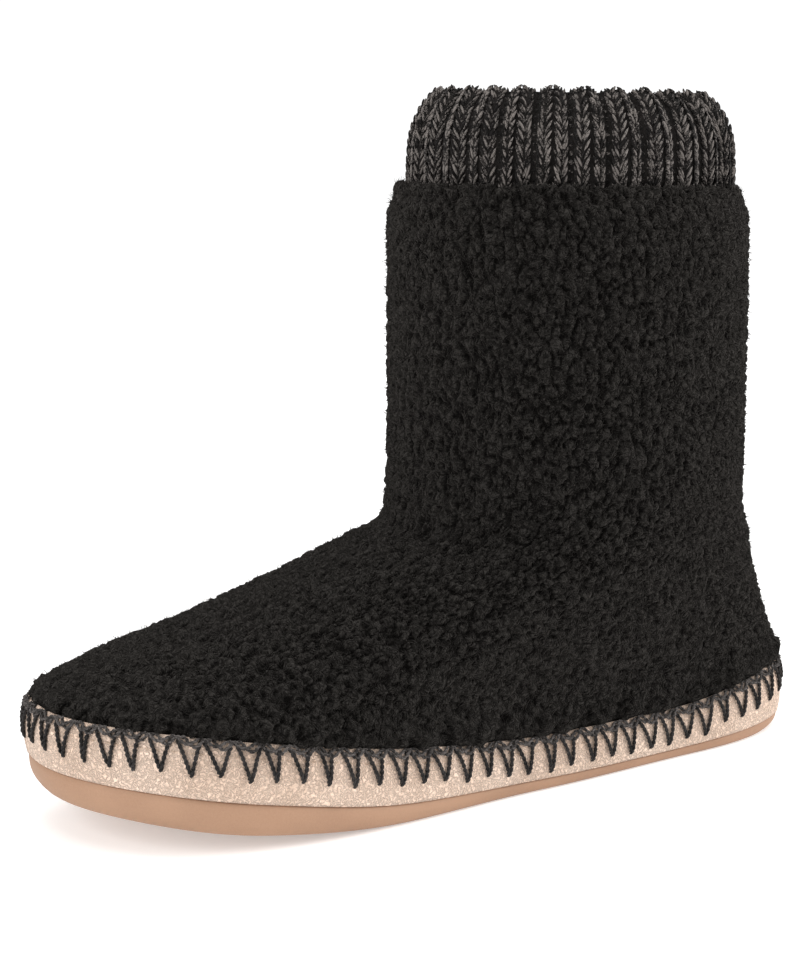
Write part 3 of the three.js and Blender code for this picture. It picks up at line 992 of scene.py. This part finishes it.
def marl_finish():
    material, tree, inputs = bare_finish("marled_cuff_yarn", sheen=0.03, specular=0.08)
    tone = add(tree, "ShaderNodeAttribute", attribute_name="tone").outputs["Fac"]
    place = add(tree, "ShaderNodeTexCoord").outputs["Object"]
    specks = noise_step(tree, place, SPECK_SCALE, detail=1.0)
    rows = noise_step(tree, vector_step(tree, "MULTIPLY", place, ROW_SCALE), 1.0, detail=1.0)
    for noise, swing in ((specks, SPECK_SWING), (rows, ROW_SWING)):
        tone = math_step(tree, "ADD", tone, math_step(tree, "MULTIPLY_ADD", noise, swing, -swing / 2))
    feed(tree, inputs["Base Color"], mix_step(
        tree, ramp_step(tree, tone, TONE_DARK, TONE_LIGHT), MARL_DARK, MARL_LIGHT))
    feed(tree, inputs["Normal"], relieved(tree, size=0.0005, depth=0.0003))
    return material


marl = marl_finish()

# %% [markdown]
# ## Knitted stitches
# A plain stitch shows as two legs that lean apart like a V, each of two strands side by side; a purl
# stitch shows as one strand lying across. Modelling each loop as a curve would cost far more triangles
# than anyone could see, so one plump leaf stands for a strand and a recipe lays a copy on every point.

# %% One strand and the recipe that lays it
STRAND_SIDES, STRAND_RINGS = 4, 4
STRAND_BEND, STRAND_TAPER = 0.12, 0.7


def strand_mesh():
    """One strand of a knitted stitch: plump, pointed and slightly bent, one unit long."""
    sides, rings = STRAND_SIDES, STRAND_RINGS
    verts, faces = [(0, 0, -0.5)], []
    for r in range(1, rings + 1):
        swell = math.sin(math.pi * r / (rings + 1))
        radius = 0.5 * swell ** STRAND_TAPER
        for k in range(sides):
            a = 2 * math.pi * k / sides
            verts.append((radius * math.cos(a), radius * math.sin(a) + STRAND_BEND * swell,
                          r / (rings + 1) - 0.5))
    verts.append((0, 0, 0.5))
    top = len(verts) - 1
    for k in range(sides):
        n = (k + 1) % sides
        faces.append((0, 1 + n, 1 + k))
        for r in range(rings - 1):
            a, b = 1 + r * sides, 1 + (r + 1) * sides
            faces.append((a + k, a + n, b + n, b + k))
        faces.append((top, top - sides + k, top - sides + n))
    mesh = bpy.data.meshes.new("strand")
    mesh.from_pydata(verts, [], faces)
    mesh.polygons.foreach_set("use_smooth", [True] * len(faces))
    return link(bpy.data.objects.new("strand", mesh))


def carrier_points(places, directions, outwards, sizes, tones):
    """A mesh of bare points that carry a turned, scaled copy each."""
    mesh = bpy.data.meshes.new("strand_carrier")
    mesh.from_pydata((places * MM).tolist(), [], [])
    for title, values in (("along", directions), ("outward", outwards), ("size", sizes)):
        layer = mesh.attributes.new(title, "FLOAT_VECTOR", "POINT")
        layer.data.foreach_set("vector", np.asarray(values, np.float32).ravel())
    layer = mesh.attributes.new("tone", "FLOAT", "POINT")
    layer.data.foreach_set("value", np.asarray(tones, np.float32))
    return link(bpy.data.objects.new("strand_carrier", mesh))


def laying_recipe():
    """Puts a copy on each point: its length along one attribute, its back to the surface."""
    tree, given, result = recipe(
        "laid_copies", "GeometryNodeTree",
        [GEOMETRY, ("Copy", "NodeSocketObject", None), FINISH], [GEOMETRY])
    along, outward, size = (read_step(tree, name, "FLOAT_VECTOR") for name in ("along", "outward", "size"))
    turn = add(tree, "FunctionNodeAxesToRotation", {0: along, 1: outward},
               primary_axis="Z", secondary_axis="Y").outputs[0]
    copy = add(tree, "GeometryNodeObjectInfo", {"Object": given.outputs["Copy"]}).outputs["Geometry"]
    points = add(tree, "GeometryNodeMeshToPoints", {"Mesh": given.outputs[0]}).outputs[0]
    laid = add(tree, "GeometryNodeInstanceOnPoints", {
        "Points": points, "Instance": copy, "Rotation": turn, "Scale": size}).outputs[0]
    return end_recipe(tree, given, result, laid)


strand = strand_mesh()
LAY = laying_recipe()
print("one strand has", len(strand.data.polygons), "faces")

# %% Where the stitches lie
KNIT_FROM, KNIT_TO = 1.1, 8.2
GAUGE_TURN, GAUGE_STEPS = np.array([1.5]), 400
WALE_OFFSET = 0.226
ROW_HEIGHT, ROW_VARIES = 2.7, 0.2
LEG_SIZE, LEG_SIZE_VARIES = np.array([0.95, 1.15, 4.5]), 0.08
LEG_LEAN, LEG_LEAN_VARIES = 0.44, 0.06
LEG_SPREAD, LEG_STAND = 1.2, 0.05
STRAND_APART = 0.4
FOLD_PATH, FOLD_REACH = 5.4, 1.9
FOLD_SHORTER, FOLD_SUNK = 0.38, 0.25
TONE_MIDDLE, TONE_VARIES, STRAND_TONE = 0.12, 0.28, 0.3
PURL_SIZE = np.array([1.7, 1.4, 3.6])
PURL_SUNK, PURL_VARIES = 0.2, 0.15
# Purls get a darker tone: painted shade in the valleys between the ribs.
PURL_SHADE_TONE = -0.25


def stitch_rows():
    """Section paths at even steps in millimetres along the cuff's section, measured at its side."""
    fine = np.linspace(KNIT_FROM, KNIT_TO, GAUGE_STEPS)
    length = travelled(np.array([cuff_point(GAUGE_TURN, path)[0] for path in fine]))
    count = int(length[-1] / ROW_HEIGHT)
    return np.interp(np.arange(count + 1) * ROW_HEIGHT, length, fine)


def frame_on_cuff(turn, path, step=1e-3):
    """Points on the cuff, with unit directions round it, up its section and outward."""
    round_ = cuff_point(turn + step, path) - cuff_point(turn - step, path)
    up = cuff_point(turn, path + step * 5) - cuff_point(turn, path - step * 5)
    outward = np.cross(up, round_)
    for vectors in (round_, outward):
        vectors /= np.linalg.norm(vectors, axis=-1, keepdims=True)
    return cuff_point(turn, path), round_, np.cross(round_, outward), outward


def plain_stitches():
    """Two legs of two strands leaning apart, in two columns on each rib; shorter over the fold."""
    rows = stitch_rows()
    chance = np.random.default_rng(5)
    rib, side, leg, row, strand_side = (a.ravel() for a in np.meshgrid(
        np.arange(RIBS), (-1, 1), (-1, 1), np.arange(len(rows)), (-1, 1), indexing="ij"))
    path, count = rows[row], len(row)
    here, round_, up, outward = frame_on_cuff(2 * np.pi * (rib + 0.5 + side * WALE_OFFSET) / RIBS, path)
    lean = LEG_LEAN + chance.normal(0, LEG_LEAN_VARIES, count)
    along = up * np.cos(lean)[:, None] + round_ * (leg * np.sin(lean))[:, None]
    across = np.cross(along, outward)
    folded = np.clip(1 - np.abs(path - FOLD_PATH) / FOLD_REACH, 0, 1)
    place = here + round_ * (leg * LEG_SPREAD)[:, None] + outward * (LEG_STAND - FOLD_SUNK * folded)[:, None]
    place += across * (strand_side * STRAND_APART)[:, None]
    place += up * chance.normal(0, ROW_VARIES, count)[:, None]
    size = LEG_SIZE * MM * chance.normal(1, LEG_SIZE_VARIES, (count, 3))
    size[:, 2] *= 1 - FOLD_SHORTER * folded
    tone = chance.normal(TONE_MIDDLE, TONE_VARIES, count) + STRAND_TONE * strand_side
    return place, along, outward, size, tone


def purl_stitches():
    """One lying strand a row, low between the ribs, darkened as painted shade."""
    rows = stitch_rows()
    chance = np.random.default_rng(6)
    rib, row = (a.ravel() for a in np.meshgrid(np.arange(RIBS), np.arange(len(rows)), indexing="ij"))
    count = len(row)
    here, round_, up, outward = frame_on_cuff(2 * np.pi * rib / RIBS, rows[row])
    along = round_ + up * chance.normal(0, PURL_VARIES, count)[:, None]
    size = PURL_SIZE * MM * np.ones((count, 1))
    return here - outward * PURL_SUNK, along, outward, size, np.full(count, PURL_SHADE_TONE)


for name, stitches_at in (("cuff_loops", plain_stitches), ("cuff_purls", purl_stitches)):
    carrier = carrier_points(*stitches_at())
    keep(grow(carrier, LAY, name, {"Copy": strand, "Finish": marl}), "rib_knit")
    bpy.data.objects.remove(carrier)
bpy.data.objects.remove(strand)

# %% [markdown]
# ## The blanket stitch
# The band is sewn to the boot by hand with a thick two-ply yarn. Each stitch rises from one hole in the
# suede to the edge as a V, and the yarn runs along the edge from stitch to stitch as a plump chain.
# Round tubes would look like wire, and a rope modelled once would not bend. So the yarn's path is drawn
# first as a line on the band, and a recipe then twists two plies round it, whatever way it goes.

# %% Yarn along a path
PLY_RADIUS, TWIST_PITCH = 0.00036, 0.0032
YARN_STEP, YARN_SIDES = 0.0006, 5


def yarn_recipe():
    tree, given, result = recipe(
        "plied_yarn", "GeometryNodeTree",
        [GEOMETRY, ("Ply Radius", NUMBER, PLY_RADIUS), ("Twist Pitch", NUMBER, TWIST_PITCH),
         ("Step", NUMBER, YARN_STEP), FINISH],
        [GEOMETRY])
    radius = given.outputs["Ply Radius"]
    even = add(tree, "GeometryNodeResampleCurve", {
        "Curve": given.outputs[0], "Length": given.outputs["Step"]}, mode="LENGTH").outputs[0]
    length = add(tree, "GeometryNodeSplineParameter").outputs["Length"]
    twists = math_step(tree, "DIVIDE", length, given.outputs["Twist Pitch"])
    normal = add(tree, "GeometryNodeInputNormal").outputs[0]
    across = vector_step(tree, "CROSS_PRODUCT", add(tree, "GeometryNodeInputTangent").outputs[0], normal)
    profile = add(tree, "GeometryNodeCurvePrimitiveCircle", {"Resolution": YARN_SIDES, "Radius": radius})
    join = add(tree, "GeometryNodeJoinGeometry")
    for start in (0.0, math.pi):
        angle = math_step(tree, "MULTIPLY_ADD", twists, 2 * math.pi, start)
        offset = vector_step(tree, "ADD", *(
            vector_step(tree, "SCALE", way, scale=math_step(
                tree, "MULTIPLY", math_step(tree, wave, angle), radius))
            for way, wave in ((normal, "COSINE"), (across, "SINE"))))
        ply = add(tree, "GeometryNodeSetPosition", {"Geometry": even, "Offset": offset}).outputs[0]
        tube = add(tree, "GeometryNodeCurveToMesh", {
            "Curve": ply, "Profile Curve": profile.outputs[0], "Fill Caps": True}).outputs[0]
        feed(tree, join.inputs[0], tube)
    smooth = add(tree, "GeometryNodeSetShadeSmooth", {"Geometry": join.outputs[0]}).outputs[0]
    return end_recipe(tree, given, result, smooth)


YARN = yarn_recipe()


def spin(name, paths, values, cyclic=False):
    """Yarn along lists of points, in millimetres, as one piece."""
    data = bpy.data.curves.new(name + "_line", "CURVE")
    data.dimensions = "3D"
    for path in paths:
        spline = data.splines.new("POLY")
        spline.points.add(len(path) - 1)
        spline.points.foreach_set("co", np.column_stack([np.asarray(path) * MM, np.ones(len(path))]).ravel())
        spline.use_cyclic_u = cyclic
    line = link(bpy.data.objects.new(name + "_line", data))
    yarn = grow(line, YARN, name, values)
    bpy.data.objects.remove(line)
    return yarn


# %% Stitches round the band
STITCH_PITCH = 8.35
STITCH_DROP, STITCH_TOP_DROP = 11.0, 0.9
STITCH_ROUNDING, STITCH_STAND, STITCH_SUNK = 3, 1.1, 0.35
MOUTH_NARROW, MOUTH_WIDE = 4.8, 7.6
UPRIGHT_SHARE = 0.38
LEG_POINTS = 14
HAND_WOBBLE, FOOT_WOBBLE = 0.5, 0.3
DROP_STEPS = 101
STITCHES = round(AROUND_MM / STITCH_PITCH)
PITCH = AROUND_MM / STITCHES

black_yarn = finish("black_stitch_yarn", (0.004, 0.0036, 0.0034), (0.045, 0.041, 0.04), patch=0.005,
                    speck=0.0006, speck_share=0.6, size=0.0004, depth=0.0003, roughness=0.85,
                    sheen=0.06, specular=0.15)


def path_at_drop(turn, drop):
    """The section path whose height is a drop below the band's edge."""
    paths = np.linspace(0, BAND_EDGE_PATH, DROP_STEPS)
    heights = band_point(np.full(len(paths), turn), paths)[:, 2]
    return np.interp(-drop, heights - heights[-1], paths)


def stitch_paths():
    """A V for each stitch: an upright leg and a slanting one from one hole, no two quite alike."""
    chance = np.random.default_rng(8)
    s = np.linspace(0, 1, LEG_POINTS)
    lift = STITCH_STAND * np.clip(np.sin(np.pi * s) * STITCH_ROUNDING, 0, 1) - STITCH_SUNK
    legs = []
    for k in range(STITCHES):
        foot = k * PITCH + chance.normal(0, FOOT_WOBBLE)
        low = path_at_drop(turn_at(foot), STITCH_DROP + chance.normal(0, HAND_WOBBLE))
        high = path_at_drop(turn_at(foot), STITCH_TOP_DROP)
        mouth = chance.uniform(MOUTH_NARROW, MOUTH_WIDE)
        for reach in (-mouth * UPRIGHT_SHARE, mouth * (1 - UPRIGHT_SHARE)):
            top = foot + reach + chance.normal(0, HAND_WOBBLE)
            legs.append(band_point(turn_at(foot + (top - foot) * s), low + (high - low) * s, lift))
    return legs


keep(spin("blanket_stitches", stitch_paths(), {"Finish": black_yarn}), "fleece")
print(STITCHES, "stitches", round(PITCH, 2), "mm apart")

# %% [markdown]
# ## The chain along the edge
# Between the stitches the same yarn lies along the band's edge. A straight cord would look printed on,
# so two strands part and cross once a stitch, and drift up and down a little as a hand lays them.

# %% Chain along the edge
CHAIN_STEPS = 16
CHAIN_DROP, CHAIN_WAVE, CHAIN_PART = 0.8, 0.8, 0.9
CHAIN_LAG = 0.9
CHAIN_STAND, CHAIN_CROSS = 0.75, 0.35
CHAIN_DRIFT, CHAIN_DRIFT_SHARE = 0.1, 0.3
CHAIN_PLY_RADIUS = 0.0003
CHAIN_START = (1 - UPRIGHT_SHARE) * (MOUTH_NARROW + MOUTH_WIDE) / 2

# Its pale specks are partly the yarn's grey ply and partly painted highlight where the chain catches the
# light; the legs' finish stays dark.
edge_yarn_and_highlights = finish("grey_edge_yarn_and_highlights", (0.003, 0.0027, 0.0025), (0.14, 0.125, 0.118), patch=0.004,
                   speck=0.0008, speck_share=0.7, size=0.0004, depth=0.0003, roughness=0.85,
                   sheen=0.05, specular=0.15)


def chain_paths():
    """Two strands that part and cross along the face of the band, under its upper rim."""
    mm = np.linspace(0, AROUND_MM, STITCHES * CHAIN_STEPS, endpoint=False)
    turns = turn_at(mm)
    phase = 2 * np.pi * (mm - CHAIN_START) / PITCH
    drift = np.random.default_rng(9).normal(0, CHAIN_DRIFT, len(mm) - 1)
    drift = np.concatenate([[0], np.cumsum(drift)])
    drift -= np.linspace(0, drift[-1], len(mm))
    strands = []
    for side in (-1, 1):
        part = side * CHAIN_PART * np.cos(phase + CHAIN_LAG)
        drops = CHAIN_DROP - CHAIN_WAVE * np.cos(phase) - part + CHAIN_DRIFT_SHARE * drift
        paths = np.array([path_at_drop(turn, drop) for turn, drop in zip(turns, drops)])
        lift = CHAIN_STAND + side * CHAIN_CROSS * np.sin(phase + CHAIN_LAG)
        strands.append(band_point(turns, paths, lift))
    return strands


keep(spin("edge_chain", chain_paths(), {"Finish": edge_yarn_and_highlights, "Ply Radius": CHAIN_PLY_RADIUS}, cyclic=True),
     "fleece")

# %% [markdown]
# ## The machine stitch
# Before the hand stitches, the band is held by one row of machine stitching just below its edge. It could
# be painted on, but light catches each stitch, so every one is a short dash of thread, sunk at its ends.

# %% Machine stitch under the edge
SEAM_DROP = 4.2
SEAM_PITCH = 2.6
SEAM_DASH_SHARE = 0.72
SEAM_LIFTS = np.array([-0.15, 0.1, 0.14, 0.1, -0.15])
SEAM_PLY_RADIUS, SEAM_TWIST_PITCH = 0.00013, 0.0012

seam_thread = finish("beige_seam_thread", (0.42, 0.30, 0.22), (0.55, 0.42, 0.32), roughness=0.8,
                     specular=0.1)


def seam_paths():
    count = round(AROUND_MM / SEAM_PITCH)
    steps = np.linspace(-0.5, 0.5, len(SEAM_LIFTS)) * SEAM_DASH_SHARE
    dashes = []
    for k in range(count):
        turns = turn_at((k + steps) * AROUND_MM / count)
        path = path_at_drop(turns[len(turns) // 2], SEAM_DROP)
        dashes.append(band_point(turns, np.full(len(turns), path), SEAM_LIFTS))
    return dashes


keep(spin("band_seam", seam_paths(), {"Finish": seam_thread, "Ply Radius": SEAM_PLY_RADIUS,
                                      "Twist Pitch": SEAM_TWIST_PITCH}), "band_suede")

# %% [markdown]
# ## The footbed
# Inside lies a padded footbed with a plush cover, glued flat to the sole. Pressure in a cloth simulation
# would lift it off, so it is lofted as a crowned pad, low at its rim and full in its middle, under a
# cover of short dark plush.

# %% Footbed
FOOTBED_AROUND = 240
FOOTBED_PLAY = 0.4
FOOTBED_EDGE = BAND_WALL + GAP + SKIRT_WALL + FOOTBED_PLAY
FOOTBED_FILL = 0.6
FOOTBED = {
    "inset": [1.6, 0.3, 0, 0.3, 1.2, 2.6, 5, 9, 14, 20],
    "height": [0, 1.2, 2.6, 4.2, 5.6, 6.4, 6.9, 7.1, 7.2, 7.2],
}
plush = finish("dark_plush", (0.008, 0.0075, 0.007), (0.026, 0.024, 0.022), patch=0.01, speck=0.0012,
               size=0.001, depth=0.0008, roughness=1.0, sheen=0.04, specular=0.04)


def footbed_rings():
    turns = even_turns(FOOTBED_AROUND)
    rings = []
    for inset, height in zip(FOOTBED["inset"], FOOTBED["height"]):
        point = footprint(turns, np.full(FOOTBED_AROUND, FOOTBED_EDGE + inset))
        rings.append(np.column_stack([point, last("rim", share_at(point[:, 1])) + GAP + height]))
    return np.array(rings)


footbed = loft("padded_footbed", footbed_rings(), plush, capped=True)
keep(footbed, "footbed", "insole", padded=FOOTBED_FILL)
